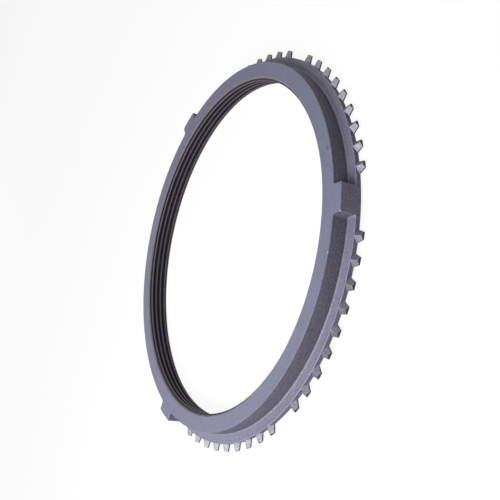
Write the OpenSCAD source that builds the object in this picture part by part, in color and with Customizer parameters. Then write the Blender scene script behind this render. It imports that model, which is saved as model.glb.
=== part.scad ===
// Synchronizer ring of a heavy vehicle gearbox, turned and milled from one piece of steel.
// A short neck carries a grooved friction cone inside it. A thin flange behind the neck carries
// blocking teeth with roof-shaped points, and index lugs on the neck sit in slots of the hub.
// The ring lies on its rear rim. +Z is the ring's axis, from the gear side up to the hub side,
// and the origin is on the axis at the rear rim. The first lug points along +X.

/* [Neck] */
// Outer diameter of the plain neck between the lugs
neck_d = 147; // [143:0.5:150]
// Length of the neck, from the front face back to the flange
neck_length = 6.25; // [5:0.05:9]
// Fillet where the neck meets the front of the flange
neck_fillet = 0.6; // [0.2:0.1:1.6]

/* [Flange and rear rim] */
// Diameter of the flange at the roots of the teeth
root_d = 154.4; // [152:0.2:157]
// Thickness of the flange and of the teeth
flange_thickness = 2; // [1.8:0.05:3]
// Step from the neck's wall in to the outer wall of the rear rim
rim_step = 0.5; // [-1.5:0.25:2.5]
// Height of the rear rim behind the flange
rim_height = 1.25; // [0.6:0.05:2.5]
// Fillet where the rear rim meets the back of the flange
rim_fillet = 0.4; // [0.1:0.05:0.5]
// Bevel on the turned outer edges
edge_bevel = 0.3; // [0.1:0.05:0.5]

/* [Blocking teeth] */
// Diameter over the tips of the teeth
tip_d = 160; // [158:0.2:164]
// Tooth places from one lug to the next
places_per_sector = 21; // [17:1:23]
// Tooth places left empty at each lug
empty_at_lug = 2; // [2:2:6]
// Tooth places left empty halfway between two lugs
empty_at_middle = 1; // [1:2:5]
// Width of a tooth at its root
tooth_root_width = 4.35; // [3.4:0.05:5]
// Width of a tooth at its tip
tooth_tip_width = 2.55; // [1.5:0.05:3.2]
// Angle between the two slopes of a tooth's point
point_angle = 114; // [110:1:140]

/* [Index lugs] */
// Number of lugs round the neck
lug_count = 3; // [3:1:4]
// Diameter over the lugs
lug_d = 153.6; // [151:0.2:156]
// Width of a lug across its parallel sides
lug_width = 10; // [6:0.5:14]
// Rounding of a lug's two outer corners
lug_corner = 0.6; // [0.2:0.1:1]
// Fillet where a lug's sides meet the front of the flange
lug_fillet = 1.8; // [0.5:0.1:2.5]
// Fillet where a lug's sides meet the neck
lug_neck_fillet = 0.6; // [0.2:0.1:1]

/* [Friction cone] */
// Wall between the neck and the cone, at the plane of the rear rim
cone_wall = 5.9; // [4.5:0.05:7]
// Angle of the cone's wall to the axis
cone_angle = 8; // [5:0.1:9]
// Bevel on the cone's rear edge
cone_rear_bevel = 0.6; // [0.2:0.05:1]
// Distance from the front face back to the cone's front edge, behind a recess as deep as a groove
recess_length = 0.95; // [0.9:0.05:1.2]
// Length of the bevel at the mouth of the recess
mouth_bevel = 0.5; // [0.2:0.05:0.5]
// Number of oil grooves turned into the cone
groove_count = 3; // [1:1:3]
// Distance from the front face to the middle of the first groove
groove_start = 2.5; // [2.3:0.05:2.8]
// Distance from one groove to the next
groove_pitch = 2.2; // [1.8:0.01:2.3]
// Width of a groove at the cone's surface
groove_width = 1.25; // [0.8:0.05:1.4]
// Depth of a groove below the cone's surface
groove_depth = 0.7; // [0.3:0.05:0.8]
// Slope of a groove's two sides
groove_side_angle = 20; // [5:1:25]

/* [Hidden] */
$fn = 240;
// How far one shape reaches into another where they are joined or cut
overlap = 1;

// The rear rim and the cone are turned with the neck, so their diameters follow it
rim_d = neck_d - 2*rim_step;
cone_rear_d = neck_d - 2*cone_wall;

flange_front = rim_height + flange_thickness;
ring_width = flange_front + neck_length;
neck_r = neck_d/2;
root_r = root_d/2;
tip_r = tip_d/2;
rim_r = rim_d/2;
lug_r = lug_d/2;

// Tooth places are half a pitch off each lug's middle, so that the lug stands between two of them
place_pitch = 360/(lug_count*places_per_sector);
sector_middle = (places_per_sector - 1)/2;
function has_tooth(place) =
    place >= empty_at_lug/2
    && place <= places_per_sector - 1 - empty_at_lug/2
    && abs(place - sector_middle) > empty_at_middle/2;

// The flanks narrow evenly from root to tip, and each slope of the point rises from a flank's edge
// to meet the other one on a ridge that starts level with the front of the flange
flank_slope = (tooth_root_width - tooth_tip_width)/(tip_d - root_d);
flank_angle = atan(flank_slope);
point_slope = 1/tan(point_angle/2);
flank_height = flange_thickness - tooth_root_width/2*point_slope;
function tooth_half_width(r) = tooth_root_width/2 - (r - root_r)*flank_slope;

function cone_r(z) = cone_rear_d/2 - z*tan(cone_angle);

// The recess in front of the cone has the depth and the side of a groove, and a bevelled mouth
recess_z = ring_width - recess_length;
mouth_z = ring_width - mouth_bevel;
recess_side = groove_depth*tan(groove_side_angle);
function floor_r(z) = cone_r(z) + groove_depth/cos(cone_angle);
floor_z = recess_z + recess_side*cos(cone_angle) + groove_depth*sin(cone_angle);

// The corner that a fillet fills, with its two straight sides along +X and +Y
module fillet_section(r) {
    difference() {
        square(r);
        translate([r, r]) circle(r);
    }
}

// One oil groove across the cone, as a trapezoid that opens towards the axis
module groove_section(z) {
    side = tan(groove_side_angle);
    floor_half = groove_width/2 - groove_depth*side;
    open_half = groove_width/2 + overlap*side;
    translate([cone_r(z), z])
        rotate(cone_angle)
            polygon([
                [-overlap, -open_half],
                [groove_depth, -floor_half],
                [groove_depth, floor_half],
                [-overlap, open_half]
            ]);
}

// Half section of the turned ring, with X as the radius and Y along the axis
module turned_section() {
    difference() {
        union() {
            polygon([
                [cone_r(0) + cone_rear_bevel, 0],
                [rim_r - edge_bevel, 0],
                [rim_r, edge_bevel],
                [rim_r, rim_height],
                [root_r, rim_height],
                [root_r, flange_front - edge_bevel],
                [root_r - edge_bevel, flange_front],
                [neck_r, flange_front],
                [neck_r, ring_width - edge_bevel],
                [neck_r - edge_bevel, ring_width],
                [floor_r(mouth_z) + mouth_bevel, ring_width],
                [floor_r(mouth_z), mouth_z],
                [floor_r(floor_z), floor_z],
                [cone_r(recess_z), recess_z],
                [cone_r(cone_rear_bevel), cone_rear_bevel]
            ]);
            translate([neck_r, flange_front]) fillet_section(neck_fillet);
            translate([rim_r, rim_height]) mirror([0, 1]) fillet_section(rim_fillet);
        }
        for (i = [0 : groove_count - 1])
            groove_section(ring_width - groove_start - i*groove_pitch);
    }
}

// One blocking tooth on +X, standing on the plane of the flange's back
module tooth() {
    inner_r = root_r - overlap;
    outer_r = tip_r + overlap;
    slope_length = outer_r - root_r + 2*overlap;
    difference() {
        linear_extrude(flange_thickness)
            polygon([
                [inner_r, -tooth_half_width(inner_r)],
                [outer_r, -tooth_half_width(outer_r)],
                [outer_r, tooth_half_width(outer_r)],
                [inner_r, tooth_half_width(inner_r)]
            ]);
        // Each cutter lies along a flank and tilts up towards the tooth's middle
        for (side = [-1, 1])
            translate([root_r, side*tooth_root_width/2, flank_height])
                rotate([0, 0, -side*flank_angle])
                    rotate([-side*atan(point_slope/cos(flank_angle)), 0, 0])
                        translate([-overlap, -tooth_root_width, 0])
                            cube([slope_length, 2*tooth_root_width, flange_thickness]);
    }
}

// All the teeth, with their tips turned to one diameter
module blocking_teeth() {
    translate([0, 0, rim_height])
        intersection() {
            cylinder(h = flange_thickness, r = tip_r);
            union() {
                for (lug = [0 : lug_count - 1])
                    for (place = [0 : places_per_sector - 1])
                        if (has_tooth(place))
                            rotate(lug*360/lug_count + (place + 0.5)*place_pitch) tooth();
            }
        }
}

// Front view of one lug on +X: parallel sides, rounded outer corners and fillets at the neck
module lug_plan() {
    half = lug_width/2;
    inner_r = neck_r - overlap;
    corner_r = sqrt(pow(lug_r - lug_corner, 2) - pow(half - lug_corner, 2));
    fillet_x = sqrt(pow(neck_r + lug_neck_fillet, 2) - pow(half + lug_neck_fillet, 2));
    intersection() {
        circle(r = lug_r);
        translate([inner_r, -half + lug_corner])
            square([lug_r - inner_r, lug_width - 2*lug_corner]);
    }
    for (side = [-1, 1]) {
        translate([corner_r, side*(half - lug_corner)]) circle(r = lug_corner);
        translate([inner_r, side*(half - lug_corner/2) - lug_corner/2])
            square([corner_r - inner_r, lug_corner]);
        difference() {
            polygon([
                [inner_r, side*(half - lug_corner)],
                [fillet_x, side*(half - lug_corner)],
                [fillet_x, side*(half + lug_neck_fillet)],
                [inner_r, side*half]
            ]);
            translate([fillet_x, side*(half + lug_neck_fillet)]) circle(r = lug_neck_fillet);
        }
    }
}

// One index lug on +X, from the flange to the front face, with a fillet along its foot on each side
module lug() {
    inner_r = neck_r - overlap;
    translate([0, 0, flange_front - overlap])
        linear_extrude(neck_length + overlap) lug_plan();
    for (side = [0, 1])
        mirror([0, side, 0])
            translate([inner_r, lug_width/2, flange_front])
                rotate([90, 0, 90])
                    linear_extrude(lug_r - inner_r - lug_corner) fillet_section(lug_fillet);
}

module synchronizer_ring() {
    color([0.46, 0.46, 0.52]) {
        rotate_extrude() turned_section();
        blocking_teeth();
        for (i = [0 : lug_count - 1])
            rotate(i*360/lug_count) lug();
    }
}

synchronizer_ring();
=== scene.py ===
import math

import bmesh
import bpy
from mathutils import Matrix, Vector


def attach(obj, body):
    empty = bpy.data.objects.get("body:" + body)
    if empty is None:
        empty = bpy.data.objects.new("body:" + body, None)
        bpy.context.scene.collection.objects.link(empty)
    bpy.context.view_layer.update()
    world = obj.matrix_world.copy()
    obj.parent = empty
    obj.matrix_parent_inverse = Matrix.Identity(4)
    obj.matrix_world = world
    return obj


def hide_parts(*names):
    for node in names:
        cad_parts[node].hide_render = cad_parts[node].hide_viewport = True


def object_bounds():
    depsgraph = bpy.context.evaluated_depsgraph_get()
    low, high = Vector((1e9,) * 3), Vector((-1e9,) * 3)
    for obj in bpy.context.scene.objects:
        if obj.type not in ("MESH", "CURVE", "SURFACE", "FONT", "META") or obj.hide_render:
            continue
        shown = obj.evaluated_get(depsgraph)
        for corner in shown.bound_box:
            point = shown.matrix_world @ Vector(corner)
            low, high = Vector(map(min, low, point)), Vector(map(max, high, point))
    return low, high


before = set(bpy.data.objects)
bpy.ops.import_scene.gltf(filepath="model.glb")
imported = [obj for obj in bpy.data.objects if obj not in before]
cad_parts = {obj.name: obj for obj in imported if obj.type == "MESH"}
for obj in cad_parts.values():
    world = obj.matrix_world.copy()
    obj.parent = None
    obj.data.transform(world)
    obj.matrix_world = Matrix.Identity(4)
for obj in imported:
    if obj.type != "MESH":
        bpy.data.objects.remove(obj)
cad_low, cad_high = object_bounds()


# The half section of the turned ring.
# It is one steel forging, turned all over: a short neck, a thin flange behind it, a low rear rim and
# a friction cone bored to a taper, with oil grooves cut into it. Every turned edge is broken.
mm = 0.001
ring_width = cad_high.z - cad_low.z
neck_radius = 73.5 * mm
root_radius = 77.2 * mm
rim_radius = 73.0 * mm
rim_height = 1.25 * mm
flange_thickness = 2.0 * mm
flange_front = rim_height + flange_thickness
cone_rear_radius = 67.6 * mm
cone_angle = math.radians(8)
cone_rear_bevel = 0.6 * mm
recess_length = 0.95 * mm
recess_height = ring_width - recess_length
lead_in_length = 0.5 * mm
lead_in_height = ring_width - lead_in_length
groove_count = 3
groove_start = 2.5 * mm
groove_pitch = 2.2 * mm
groove_width = 1.25 * mm
groove_depth = 0.7 * mm
groove_side_angle = math.radians(20)
groove_side = groove_depth * math.tan(groove_side_angle)
neck_fillet = 0.6 * mm
rim_fillet = 0.4 * mm
edge_round = 0.25 * mm
back_round = 0.15 * mm
fine_round = 0.08 * mm


def cone_radius(height):
    return cone_rear_radius - height * math.tan(cone_angle)


def below_cone(height, depth):
    """A point under the cone's surface, straight down from the place that has this height."""
    return (
        cone_radius(height) + depth * math.cos(cone_angle),
        height + depth * math.sin(cone_angle),
    )


# Each corner is a radius, a height and the rounding that the tool leaves there
recess_radius = cone_radius(lead_in_height) + groove_depth / math.cos(cone_angle)
section = [
    (cone_rear_radius + cone_rear_bevel, 0, edge_round),
    (rim_radius, 0, edge_round),
    (rim_radius, rim_height, rim_fillet),
    (root_radius, rim_height, back_round),
    (root_radius, flange_front, edge_round),
    (neck_radius, flange_front, neck_fillet),
    (neck_radius, ring_width, edge_round),
    (recess_radius + lead_in_length, ring_width, fine_round),
    (recess_radius, lead_in_height, fine_round),
    (*below_cone(recess_height + groove_side * math.cos(cone_angle), groove_depth), fine_round),
    (cone_radius(recess_height), recess_height, fine_round),
]
for groove in range(groove_count):
    middle = ring_width - groove_start - groove * groove_pitch
    half_mouth = groove_width / 2 * math.cos(cone_angle)
    half_floor = (groove_width / 2 - groove_side) * math.cos(cone_angle)
    section.append((*below_cone(middle + half_mouth, 0), fine_round))
    section.append((*below_cone(middle + half_floor, groove_depth), fine_round))
    section.append((*below_cone(middle - half_floor, groove_depth), fine_round))
    section.append((*below_cone(middle - half_mouth, 0), fine_round))
section.append((cone_radius(cone_rear_bevel), cone_rear_bevel, back_round))

# The sweep below takes the section's X outwards from the neck and its Y downwards
section_mesh = bpy.data.meshes.new("synchronizer_ring_steel")
section_mesh.from_pydata(
    [(radius - neck_radius, -height, 0) for radius, height, _ in section],
    [(i, (i + 1) % len(section)) for i in range(len(section))],
    [],
)
rounding = section_mesh.attributes.new("rounding", "FLOAT", "POINT")
rounding.data.foreach_set("value", [corner[2] for corner in section])
ring = bpy.data.objects.new("synchronizer_ring_steel", section_mesh)
bpy.context.scene.collection.objects.link(ring)


# One blocking tooth, which lies along +X.
# The teeth are milled out of the flange's rim. The flanks narrow towards the tip, the back is flat, and
# the front is pointed like a roof, so that the sleeve's splines can find their way between the teeth.
tip_radius = 80.0 * mm
tooth_root_width = 4.35 * mm
tooth_tip_width = 2.55 * mm
tooth_seat = 0.4 * mm
point_angle = math.radians(114)
point_slope = 1 / math.tan(point_angle / 2)
flank_height = flange_thickness - tooth_root_width / 2 * point_slope
flank_slope = (tooth_root_width - tooth_tip_width) / 2 / (tip_radius - root_radius)
tooth_round = 0.14 * mm
least_turn = 0.2

shape = bmesh.new()
outlines = []
for radius in (root_radius - tooth_seat, tip_radius):
    half = tooth_root_width / 2 - (radius - root_radius) * flank_slope
    flank_x = math.sqrt(radius**2 - half**2)
    flank_top = rim_height + flank_height
    outline = [
        (flank_x, -half, rim_height),
        (radius, 0, rim_height),
        (flank_x, half, rim_height),
        (flank_x, half, flank_top),
        (radius, 0, flank_top + half * point_slope),
        (flank_x, -half, flank_top),
    ]
    outlines.append([shape.verts.new(point) for point in outline])
inner, outer = outlines
for i in range(len(inner)):
    j = (i + 1) % len(inner)
    shape.faces.new((inner[i], inner[j], outer[j], outer[i]))
shape.faces.new(reversed(inner))
shape.faces.new(outer)
bmesh.ops.recalc_face_normals(shape, faces=shape.faces)
# All edges are broken, apart from those inside the flange and the line along the middle of the flat back
seated = set(inner)
bmesh.ops.bevel(
    shape,
    geom=[
        edge for edge in shape.edges
        if not seated.issuperset(edge.verts) and edge.calc_face_angle() > least_turn
    ],
    offset=tooth_round,
    segments=2,
    profile=0.5,
    affect="EDGES",
    clamp_overlap=True,
)
tooth_mesh = bpy.data.meshes.new("blocking_tooth")
shape.to_mesh(tooth_mesh)
shape.free()
tooth = bpy.data.objects.new("blocking_tooth", tooth_mesh)


# One index lug on +X.
# The lugs are milled from the same blank with an end mill, which leaves parallel sides, rounded outer
# corners, and a fillet where the sides run out over the flange and into the neck.
lug_radius = 77.3 * mm
lug_half_width = 5.0 * mm
lug_corner = 0.3 * mm
lug_fillet = 0.7 * mm
lug_neck_fillet = 0.9 * mm
lug_seat = 0.6 * mm
foot_sweep = math.radians(80)
arc_steps = 6


def arc(centre, radius, start, end):
    """Points along a round stretch of the lug's outline, with both ends."""
    angles = [start + (end - start) * i / arc_steps for i in range(arc_steps + 1)]
    return [(centre[0] + radius * math.cos(a), centre[1] + radius * math.sin(a)) for a in angles]


def lug_outline(flare, inset):
    """The lug from the front, where its sides lie flare outside and inset inside their own place."""
    half = lug_half_width + flare - inset
    outer_radius = lug_radius - inset
    fillet = lug_neck_fillet + inset
    fillet_centre = (
        math.sqrt((neck_radius + lug_neck_fillet) ** 2 - (half + fillet) ** 2),
        half + fillet,
    )
    corner_y = half - lug_corner
    corner_centre = (math.sqrt((outer_radius - lug_corner) ** 2 - corner_y**2), corner_y)
    to_neck = math.atan2(-fillet_centre[1], -fillet_centre[0]) + 2 * math.pi
    to_tip = math.atan2(corner_centre[1], corner_centre[0])
    side = [(neck_radius - lug_seat, half + fillet)]
    side += arc(fillet_centre, fillet, to_neck, 1.5 * math.pi)
    side += arc(corner_centre, lug_corner, math.pi / 2, to_tip)
    tip_angles = [to_tip * i / 3 for i in (2, 1)]
    tip = [(outer_radius * math.cos(a), outer_radius * math.sin(a)) for a in tip_angles]
    upper = side + tip
    return upper + [(outer_radius, 0)] + [(x, -y) for x, y in reversed(upper)]


# Levels run up from inside the flange, over the foot's fillet, to the broken edge at the front face
levels = [(flange_front - lug_seat, lug_fillet, 0)]
for i in range(arc_steps + 1):
    turn = foot_sweep * (1 - i / arc_steps)
    levels.append((
        flange_front + lug_fillet * (1 - math.sin(turn)),
        lug_fillet * (1 - math.cos(turn)),
        0,
    ))
for i in range(arc_steps + 1):
    turn = math.pi / 2 * i / arc_steps
    levels.append((
        ring_width - edge_round * (1 - math.sin(turn)),
        0,
        edge_round * (1 - math.cos(turn)),
    ))
shape = bmesh.new()
rows = []
for height, flare, inset in levels:
    rows.append([shape.verts.new((x, y, height)) for x, y in lug_outline(flare, inset)])
for below, above in zip(rows, rows[1:]):
    for i in range(len(below)):
        j = (i + 1) % len(below)
        shape.faces.new((below[i], below[j], above[j], above[i]))
shape.faces.new(reversed(rows[0]))
shape.faces.new(rows[-1])
bmesh.ops.recalc_face_normals(shape, faces=shape.faces)
lug_mesh = bpy.data.meshes.new("index_lug")
shape.to_mesh(lug_mesh)
shape.free()
lug = bpy.data.objects.new("index_lug", lug_mesh)


# The whole ring, put together by rule.
# The section is rounded and swept round the axis, the teeth stand at even places with gaps at the lugs
# and halfway between them, and the lugs stand at even turns. All of it is one solid piece of steel.
class Wire:
    """A node's output that plain arithmetic can be written on. Each step adds its own Math node."""

    def __init__(self, socket):
        self.socket = socket
        self.tree = socket.id_data

    def node(self, kind, settings, sockets, output=0):
        """Adds a node: its settings, then each socket's value or link, or a list of its links."""
        made = self.tree.nodes.new(kind)
        for name, value in settings.items():
            setattr(made, name, value)
        for name, value in sockets.items():
            for single in value if isinstance(value, list) else [value]:
                if isinstance(single, Wire):
                    self.tree.links.new(single.socket, made.inputs[name])
                else:
                    made.inputs[name].default_value = single
        return made if output is None else Wire(made.outputs[output])

    def math(self, operation, *values):
        return self.node("ShaderNodeMath", {"operation": operation}, dict(enumerate(values)))

    def __add__(self, other):
        return self.math("ADD", self, other)

    def __radd__(self, other):
        return self.math("ADD", other, self)

    def __sub__(self, other):
        return self.math("SUBTRACT", self, other)

    def __rsub__(self, other):
        return self.math("SUBTRACT", other, self)

    def __mul__(self, other):
        return self.math("MULTIPLY", self, other)

    def __rmul__(self, other):
        return self.math("MULTIPLY", other, self)

    def __truediv__(self, other):
        return self.math("DIVIDE", self, other)

    def __rtruediv__(self, other):
        return self.math("DIVIDE", other, self)

    def __mod__(self, other):
        return self.math("MODULO", self, other)

    def __gt__(self, other):
        return self.math("GREATER_THAN", self, other)

    def __abs__(self):
        return self.math("ABSOLUTE", self)


tree = bpy.data.node_groups.new("synchronizer ring by rule", "GeometryNodeTree")
tree.interface.new_socket("Geometry", in_out="OUTPUT", socket_type="NodeSocketGeometry")
ring_inputs = {}
for name, kind in (
    ("Section", "NodeSocketGeometry"),
    ("Neck radius", "NodeSocketFloat"),
    ("Steps round the ring", "NodeSocketInt"),
    ("Steps in a rounding", "NodeSocketInt"),
    ("Tooth", "NodeSocketObject"),
    ("Lug", "NodeSocketObject"),
    ("Number of lugs", "NodeSocketInt"),
    ("Tooth places per lug", "NodeSocketInt"),
    ("Empty places at a lug", "NodeSocketInt"),
    ("Empty places at the middle", "NodeSocketInt"),
    ("Steel", "NodeSocketMaterial"),
):
    ring_inputs[name] = tree.interface.new_socket(name, in_out="INPUT", socket_type=kind)
entry = tree.nodes.new("NodeGroupInput")
given = {socket.name: Wire(socket) for socket in entry.outputs if socket.name}

rounded = given["Section"].node("GeometryNodeMeshToCurve", {}, {"Mesh": given["Section"]})
rounded = rounded.node("GeometryNodeFilletCurve", {"mode": "POLY"}, {
    "Curve": rounded,
    "Count": given["Steps in a rounding"],
    "Radius": rounded.node(
        "GeometryNodeInputNamedAttribute", {"data_type": "FLOAT"}, {"Name": "rounding"}
    ),
    "Limit Radius": True,
})
path = rounded.node("GeometryNodeCurvePrimitiveCircle", {"mode": "RADIUS"}, {
    "Resolution": given["Steps round the ring"],
    "Radius": given["Neck radius"],
})
path = path.node("GeometryNodeSetCurveNormal", {"mode": "Z_UP"}, {"Curve": path})
body = path.node("GeometryNodeCurveToMesh", {}, {"Curve": path, "Profile Curve": rounded})
body = body.node("GeometryNodeFlipFaces", {}, {"Mesh": body})

place_count = given["Number of lugs"] * given["Tooth places per lug"]
places = body.node("GeometryNodePoints", {}, {"Count": place_count})
place = places.node("GeometryNodeInputIndex", {}, {}) + 0.5
from_lug = place % given["Tooth places per lug"]
to_lug = given["Tooth places per lug"] - from_lug
clear_of_lug = from_lug.math("MINIMUM", from_lug, to_lug) > given["Empty places at a lug"] / 2
clear_of_middle = abs(from_lug - to_lug) > given["Empty places at the middle"]
teeth = places.node("GeometryNodeInstanceOnPoints", {}, {
    "Points": places,
    "Selection": clear_of_lug * clear_of_middle,
    "Instance": places.node("GeometryNodeObjectInfo", {}, {"Object": given["Tooth"]}, "Geometry"),
    "Rotation": place.node("ShaderNodeCombineXYZ", {}, {"Z": place * math.tau / place_count}),
})
teeth = teeth.node("GeometryNodeRealizeInstances", {}, {"Geometry": teeth})

turns = teeth.node("GeometryNodePoints", {}, {"Count": given["Number of lugs"]})
turn = turns.node("GeometryNodeInputIndex", {}, {}) * math.tau / given["Number of lugs"]
lugs = turns.node("GeometryNodeInstanceOnPoints", {}, {
    "Points": turns,
    "Instance": turns.node("GeometryNodeObjectInfo", {}, {"Object": given["Lug"]}, "Geometry"),
    "Rotation": turn.node("ShaderNodeCombineXYZ", {}, {"Z": turn}),
})
lugs = lugs.node("GeometryNodeRealizeInstances", {}, {"Geometry": lugs})

# The union leaves slivers where the lugs' front edges meet the neck, and the merge closes them
sliver = 0.004 * mm
whole = body.node(
    "GeometryNodeMeshBoolean",
    {"operation": "UNION", "solver": "MANIFOLD"},
    {"Mesh 2": [body, teeth, lugs]},
)
whole = whole.node("GeometryNodeMergeByDistance", {}, {"Geometry": whole, "Distance": sliver})
whole = whole.node("GeometryNodeRealizeInstances", {}, {"Geometry": whole})
whole = whole.node("GeometryNodeSetMaterial", {}, {"Geometry": whole, "Material": given["Steel"]})
leave = tree.nodes.new("NodeGroupOutput")
tree.links.new(whole.socket, leave.inputs[0])


# The finish of the ring.
# It is matt steel with a violet-grey cast, finely ground on the faces and brighter where the flange and
# the teeth were milled last. The friction cone is brown-grey, and its grooves are darkened with painted
# shade. Painted highlights and painted shade lie in other places too, marked below.
steel = bpy.data.materials.new("matt ground steel")
steel.use_nodes = True
shader = steel.node_tree.nodes["Principled BSDF"]
shader.inputs["IOR"].default_value = 1.45
shader.inputs["Specular IOR Level"].default_value = 0.2
at = Wire(steel.node_tree.nodes.new("ShaderNodeTexCoord").outputs["Object"])
across = at.node("ShaderNodeSeparateXYZ", {}, {"Vector": at})
along = Wire(across.socket.node.outputs["Y"])
height = Wire(across.socket.node.outputs["Z"])
radius = across.math("SQRT", across * across + along * along)


def between(value, low, high):
    """A smooth step from 0 at low to 1 at high."""
    return value.node("ShaderNodeMapRange", {"interpolation_type": "SMOOTHSTEP"}, {
        "Value": value, "From Min": low, "From Max": high,
    })


def noise(scale, detail, where=at):
    return where.node("ShaderNodeTexNoise", {}, {"Vector": where, "Scale": scale, "Detail": detail})


def blend(mask, first, second):
    """One colour over another, by a mask."""
    sockets = {"Factor": mask, "A": first, "B": second}
    return mask.node("ShaderNodeMix", {"data_type": "RGBA"}, sockets, "Result")


def spot(x, y, size):
    """A small round mark on the front face."""
    centre = (x, y, ring_width)
    away = at.node("ShaderNodeVectorMath", {"operation": "DISTANCE"}, {0: at, 1: centre}, "Value")
    return 1 - between(away, size * 0.5, size)


cloud = noise(140, 3)
grain = noise(1500, 3)
turning = noise(3600, 2, at.node("ShaderNodeCombineXYZ", {}, {"X": radius, "Y": height}))
facing = at.node("ShaderNodeSeparateXYZ", {}, {"Vector": Wire(at.socket.node.outputs["Normal"])}, "Z")
# ground is 1 on faces that look up or down; the sideways ones get the darker skin colour, which is
# partly painted shade
ground = between(abs(facing), 0.1, 0.4)
depth = radius - cone_rear_radius + height * math.tan(cone_angle)
at_mouth = between(height, lead_in_height - 0.1 * mm, lead_in_height + 0.1 * mm)
friction = (1 - between(depth, 0.95 * mm, 1.05 * mm)) * (1 - at_mouth)
lead_in = at_mouth * (1 - between(radius, recess_radius + 0.4 * mm, recess_radius + 0.5 * mm))
# Painted shade: the grooves, sides and floor, are coloured far darker than the friction coat
groove = friction * between(depth, 0.03 * mm, 0.15 * mm)
# Painted highlight: a thin lighter line runs along the middle of each land between the grooves
pitches_down = (ring_width - groove_start + groove_pitch - height) / groove_pitch
from_crest = abs(pitches_down % 1 - 0.5) * groove_pitch
crest_highlight = friction * (1 - groove) * (1 - between(from_crest, 0.08 * mm, 0.26 * mm))
below_neck = 1 - between(height, flange_front + 0.2 * mm, flange_front + 0.6 * mm)
flange = ground * below_neck * between(radius, neck_radius + 0.05 * mm, neck_radius + 0.15 * mm)
point = between(facing, 0.5, 0.7) * between(radius, root_radius + 0.1 * mm, root_radius + 0.3 * mm)
# Painted light: the sideways surfaces out at the rim, the root lands and lug tops, are made lighter than
# the neck wall
rim = (1 - ground) * between(radius, root_radius - 1.2 * mm, root_radius - 0.9 * mm)
# Painted highlight: a lighter band along both edges of the flange's front face, at the neck's foot and
# at the outer edge
flange_middle = (root_radius + neck_radius) / 2
flange_half = (root_radius - neck_radius) / 2
from_middle = abs(radius - flange_middle)
flange_edge_highlight = between(from_middle, flange_half - 0.3 * mm, flange_half - 0.15 * mm)
flange_edge_highlight = ground * below_neck * flange_edge_highlight
# Painted shade: the sideways faces of the teeth, their flanks and tips, are darkened by nearly three
# quarters
flank_shade = (1 - ground) * between(radius, root_radius + 0.15 * mm, root_radius + 0.35 * mm)
face = ground * (1 - below_neck)
# Painted highlight: the line on the first land, next to the mouth, is lighter still
first_land_highlight = crest_highlight * between(height, ring_width - 2.0 * mm, ring_width - 1.8 * mm)
# The two nicks on the front edges are light spots, partly bare metal and partly painted glints; the pit
# is a darker mark
nick_glint_size = 0.4 * mm
pit_size = 0.7 * mm
nick_glint = spot(76.9 * mm, -4.95 * mm, nick_glint_size) + spot(71.2 * mm, -17.2 * mm, nick_glint_size)
pit = spot(69.6 * mm, 18.4 * mm, pit_size)

speckle = (grain - 0.5) * (1.2 - 0.6 * face) + 0.25 * (turning - 0.5)
# The colour's painted light and shade: lighter sideways surfaces at the rim, darker tooth flanks,
# highlights on the flange's edges and the first land; the pit is a real darker mark
pit_and_painted_light = 1 + 0.15 * rim - 0.72 * flank_shade + 0.15 * flange_edge_highlight + 0.8 * first_land_highlight - 0.4 * pit
tone = (0.98 + 0.16 * (cloud - 0.5) + speckle) * pit_and_painted_light
# Painted shade in part: the sideways surfaces take a darker skin colour, partly a darker unground skin
# and partly painted shade on the walls
shaded_skin_colour = (0.157, 0.147, 0.198, 1)
ground_colour = (0.27, 0.27, 0.388, 1)
flange_colour = (0.32, 0.312, 0.415, 1)
point_colour = (0.275, 0.27, 0.315, 1)
friction_colour = (0.07, 0.06, 0.068, 1)
crest_highlight_colour = (0.2, 0.182, 0.2, 1)
groove_shade_colour = (0.022, 0.016, 0.03, 1)
lead_in_colour = (0.28, 0.25, 0.255, 1)
nick_glint_colour = (0.62, 0.6, 0.6, 1)
colour = blend(ground, shaded_skin_colour, ground_colour)
colour = blend(flange, colour, flange_colour)
colour = blend(point, colour, point_colour)
colour = blend(friction, colour, friction_colour)
colour = blend(crest_highlight, colour, crest_highlight_colour)
colour = blend(groove, colour, groove_shade_colour)
colour = blend(lead_in, colour, lead_in_colour)
colour = blend(nick_glint, colour, nick_glint_colour)
colour = colour.node("ShaderNodeMix", {"data_type": "RGBA", "blend_type": "MULTIPLY"}, {
    "Factor": 1.0,
    "A": colour,
    "B": tone.node("ShaderNodeCombineXYZ", {}, {"X": tone, "Y": tone, "Z": tone}),
}, "Result")
metal = (0.05 + 0.07 * ground + 0.36 * point) * (1 - friction)
rough = 0.5 - 0.08 * ground - 0.12 * point + 0.08 * grain + 0.12 * turning
texture = grain + 0.5 * turning
texture_depth = 0.02 * mm
bump = texture.node("ShaderNodeBump", {}, {
    "Height": texture, "Strength": 0.25, "Distance": texture_depth,
})
for name, wire in {"Base Color": colour, "Roughness": rough, "Metallic": metal, "Normal": bump}.items():
    steel.node_tree.links.new(wire.socket, shader.inputs[name])


def settle(piece):
    """Makes what the piece's modifiers give its plain mesh, and takes the modifiers off."""
    evaluated = piece.evaluated_get(bpy.context.evaluated_depsgraph_get())
    plain = bpy.data.meshes.new_from_object(evaluated)
    piece.modifiers.clear()
    piece.data = plain


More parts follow.
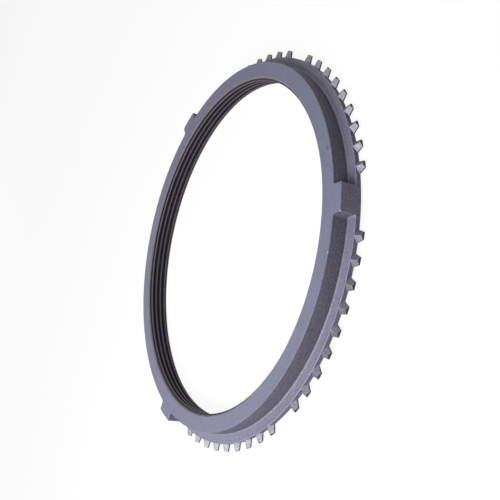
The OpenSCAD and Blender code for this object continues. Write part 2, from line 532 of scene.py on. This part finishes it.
rule = ring.modifiers.new("ring by rule", "NODES")
rule.node_group = tree
for name, value in {
    "Neck radius": neck_radius,
    "Steps round the ring": 504,
    "Steps in a rounding": 6,
    "Tooth": tooth,
    "Lug": lug,
    "Number of lugs": 3,
    "Tooth places per lug": 21,
    "Empty places at a lug": 2,
    "Empty places at the middle": 1,
    "Steel": steel,
}.items():
    rule[ring_inputs[name].identifier] = value
settle(ring)
bpy.data.objects.remove(tooth)
bpy.data.objects.remove(lug)
sharp_angle = math.radians(30)
ring.data.shade_smooth()
ring.data.set_sharp_from_angle(angle=sharp_angle)
flats = ring.modifiers.new("flat faces stay flat", "WEIGHTED_NORMAL")
flats.keep_sharp = True
settle(ring)
ring.data.name = ring.name
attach(ring, "root")
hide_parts("synchronizer_ring")


# The camera, which looks down on the lying ring as the photograph looks at the standing one.
# It is turned about its own line of sight, so that the ring stands upright in the picture.
camera_data = bpy.data.cameras.new("camera")
camera_data.sensor_width = 36
camera_data.lens = 53.24
camera_data.clip_start = 0.01
camera = bpy.data.objects.new("camera", camera_data)
bpy.context.scene.collection.objects.link(camera)
bpy.context.scene.camera = camera
eye = Vector((0.25087, -0.07580, 0.14498))
line_of_sight = Vector((-0.83120, 0.25072, -0.49623))
picture_up = Vector((0.18559, 0.96647, 0.17744))
backward = -line_of_sight.normalized()
rightward = picture_up.cross(backward).normalized()
upward = backward.cross(rightward)
turned = Matrix((rightward, upward, backward)).transposed().to_4x4()
camera.matrix_world = Matrix.Translation(eye) @ turned


# The floor and the light.
# The ring lies on a wide sheet of matt white paper, with soft square lamps in front, above, behind
# and at the left. The eye sees the paper nearly white, and it keeps the ring's soft shadow.
reach = 3
corners = [(-reach, -reach, 0), (reach, -reach, 0), (reach, reach, 0), (-reach, reach, 0)]
floor_mesh = bpy.data.meshes.new("floor")
floor_mesh.from_pydata(corners, [], [(0, 1, 2, 3)])
floor = bpy.data.objects.new("floor", floor_mesh)
floor_gap = 0.1 * mm
floor.location.z = -floor_gap
bpy.context.scene.collection.objects.link(floor)
pale = bpy.data.materials.new("pale floor")
pale.use_nodes = True
pale.node_tree.nodes.clear()


def shown(tree):
    """1 on the rays that show a surface to the eye, also in metal or glass, and 0 on all others."""
    path = tree.nodes.new("ShaderNodeLightPath")
    camera_ray, glossy, through = (
        Wire(path.outputs[name]) for name in ("Is Camera Ray", "Is Glossy Ray", "Is Transmission Ray")
    )
    return camera_ray.math("MAXIMUM", camera_ray.math("MAXIMUM", camera_ray, glossy), through)


# The eye sees a fifth of the lit paper, with the shadow on it, and white added to that
unseen_paper = (0.8, 0.8, 0.8, 1)
seen_paper = (0.16, 0.16, 0.16, 1)
nothing = (0, 0, 0, 1)
near_white = (0.91, 0.91, 0.91, 1)
seen = shown(pale.node_tree)
lit_paint = blend(seen, unseen_paper, seen_paper)
shown_white = blend(seen, nothing, near_white)
paint = seen.node("ShaderNodeBsdfDiffuse", {}, {"Color": lit_paint})
white = seen.node("ShaderNodeEmission", {}, {"Color": shown_white})
surface = seen.node("ShaderNodeAddShader", {}, {0: paint, 1: white})
seen.node("ShaderNodeOutputMaterial", {}, {"Surface": surface}, None)
floor.data.materials.append(pale)

for name, power, size, place in (
    ("key", 0.62, 0.2, (0.16, -0.2, 0.25)),
    ("front", 0.36, 0.2, (0, -0.25, 0.25)),
    ("overhead", 0.15, 0.2, (0.1, -0.06, 0.33)),
    ("back", 0.55, 0.4, (0, 0.58, 0.07)),
    ("left", 0.4, 0.4, (-0.58, 0, 0.16)),
):
    lamp_data = bpy.data.lights.new(name, "AREA")
    lamp_data.energy = power
    lamp_data.size = size
    lamp = bpy.data.objects.new(name, lamp_data)
    bpy.context.scene.collection.objects.link(lamp)
    lamp.location = place
    lamp.visible_camera = False
    lamp.rotation_euler = lamp.location.to_track_quat("Z", "Y").to_euler()

world = bpy.data.worlds.new("world")
bpy.context.scene.world = world
world.use_nodes = True
background = world.node_tree.nodes["Background"]
background.inputs["Color"].default_value = near_white
world.node_tree.links.new(shown(world.node_tree).socket, background.inputs["Strength"])

bpy.context.scene.view_settings.view_transform = "Standard"
